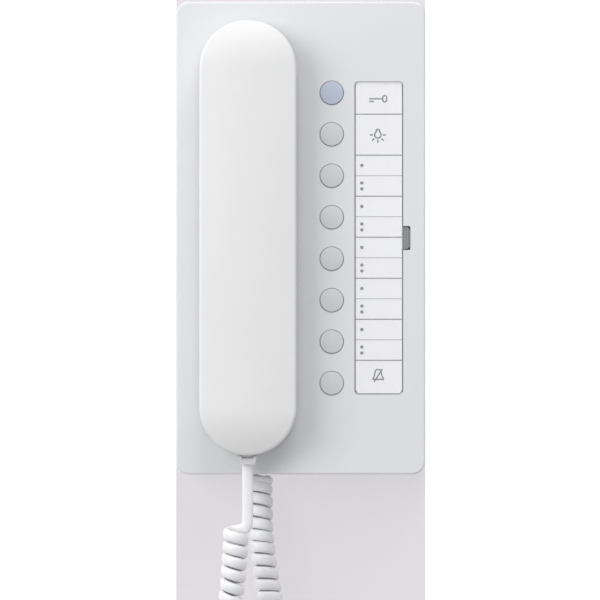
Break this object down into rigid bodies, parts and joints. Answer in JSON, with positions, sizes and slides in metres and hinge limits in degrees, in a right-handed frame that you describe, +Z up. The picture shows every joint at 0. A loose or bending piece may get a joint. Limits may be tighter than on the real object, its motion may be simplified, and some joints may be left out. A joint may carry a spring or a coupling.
{
  "type": "wall-mounted audio intercom handset station",
  "caption": "Wall-mounted audio intercom station: lift-off handset in two wells, column of round push buttons, label strip with window, curly cord.",
  "frame": {"origin": "middle of the wall plate's back face, midway between the two wall screw holes", "axes": "+X to the right and +Z up as a person faces the station, +Y into the wall"},
  "size_m": [0.106, 0.046, 0.3543],
  "materials": {
    "housing_white": "fine-textured moulded ABS, pale grey white",
    "handset_white": "satin moulded ABS, white",
    "plate_grey": "plain moulded plastic, light grey",
    "button_grey": "satin moulded plastic, light grey",
    "button_blue": "satin moulded plastic, pale blue",
    "label_paper": "smooth printed card",
    "label_clear": "clear moulded polycarbonate",
    "catch_grey": "ribbed moulded plastic, mid grey",
    "board_green": "green solder mask on glass-fibre board",
    "screw_steel": "zinc-plated steel",
    "terminal_grey": "moulded polyamide, grey green",
    "part_black": "black moulded plastic",
    "capacitor_can": "sleeved aluminium can",
    "capsule_grey": "moulded capsule, dark grey",
    "foam_black": "closed-cell foam",
    "boot_rubber": "soft moulded rubber",
    "wire_red": "PVC-insulated wire",
    "plug_clear": "frosted clear polycarbonate",
    "cord_white": "smooth white PVC jacket"
  },
  "bodies": {
    "housing": {"wall_plate": "plate_grey", "front_cover": "housing_white", "cover_screw": "screw_steel", "circuit_board": "board_green", "board_screws": "screw_steel", "terminal_block": "terminal_grey", "terminal_screws": "screw_steel", "ringer": "part_black", "control_chip": "part_black", "capacitors": "capacitor_can", "key_switches": "part_black", "hook_switch": "part_black", "label_inlay": "label_paper", "housing_jack": "part_black", "housing_plug": "plug_clear", "cord_coil": "cord_white", "handset_lead": "cord_white"},
    "handset": {"handset_shell": "handset_white", "handset_inner_shell": "handset_white", "handset_screws": "screw_steel", "earpiece_gasket": "foam_black", "earpiece_capsule": "capsule_grey", "microphone_boot": "boot_rubber", "microphone": "capacitor_can", "handset_board": "board_green", "earpiece_wires": "wire_red", "handset_jack": "part_black", "handset_plug": "plug_clear"},
    "hook_plunger": {"hook_plunger": "button_grey"},
    "label_window": {"label_window": "label_clear", "label_catch": "catch_grey"},
    "door_button": {"door_button": "button_blue", "door_key_plunger": "part_black"},
    "light_button": {"light_button": "button_grey", "light_key_plunger": "part_black"},
    "call_1_button": {"call_1_button": "button_grey", "call_1_key_plunger": "part_black"},
    "call_2_button": {"call_2_button": "button_grey", "call_2_key_plunger": "part_black"},
    "call_3_button": {"call_3_button": "button_grey", "call_3_key_plunger": "part_black"},
    "call_4_button": {"call_4_button": "button_grey", "call_4_key_plunger": "part_black"},
    "call_5_button": {"call_5_button": "button_grey", "call_5_key_plunger": "part_black"},
    "mute_button": {"mute_button": "button_grey", "mute_key_plunger": "part_black"}
  },
  "joints": [
    {"name": "handset_lift", "type": "slide", "parent": "housing", "child": "handset", "axis": [0, -1, 0], "range_m": [0, 0.06]},
    {"name": "hook_plunger_slide", "type": "slide", "parent": "housing", "child": "hook_plunger", "axis": [0, -1, 0], "range_m": [0, 0.003]},
    {"name": "label_window_lift", "type": "slide", "parent": "housing", "child": "label_window", "axis": [0, -1, 0], "range_m": [0, 0.015]},
    {"name": "door_press", "type": "slide", "parent": "housing", "child": "door_button", "axis": [0, 1, 0], "range_m": [0, 0.0012], "stiffness_N_per_m": 1200},
    {"name": "light_press", "type": "slide", "parent": "housing", "child": "light_button", "axis": [0, 1, 0], "range_m": [0, 0.0012], "stiffness_N_per_m": 1200},
    {"name": "call_1_press", "type": "slide", "parent": "housing", "child": "call_1_button", "axis": [0, 1, 0], "range_m": [0, 0.0012], "stiffness_N_per_m": 1200},
    {"name": "call_2_press", "type": "slide", "parent": "housing", "child": "call_2_button", "axis": [0, 1, 0], "range_m": [0, 0.0012], "stiffness_N_per_m": 1200},
    {"name": "call_3_press", "type": "slide", "parent": "housing", "child": "call_3_button", "axis": [0, 1, 0], "range_m": [0, 0.0012], "stiffness_N_per_m": 1200},
    {"name": "call_4_press", "type": "slide", "parent": "housing", "child": "call_4_button", "axis": [0, 1, 0], "range_m": [0, 0.0012], "stiffness_N_per_m": 1200},
    {"name": "call_5_press", "type": "slide", "parent": "housing", "child": "call_5_button", "axis": [0, 1, 0], "range_m": [0, 0.0012], "stiffness_N_per_m": 1200},
    {"name": "mute_press", "type": "slide", "parent": "housing", "child": "mute_button", "axis": [0, 1, 0], "range_m": [0, 0.0012], "stiffness_N_per_m": 1200}
  ],
  "couplings": [
    {"joint": "hook_plunger_slide", "follows": "handset_lift", "ratio": 0.05}
  ]
}
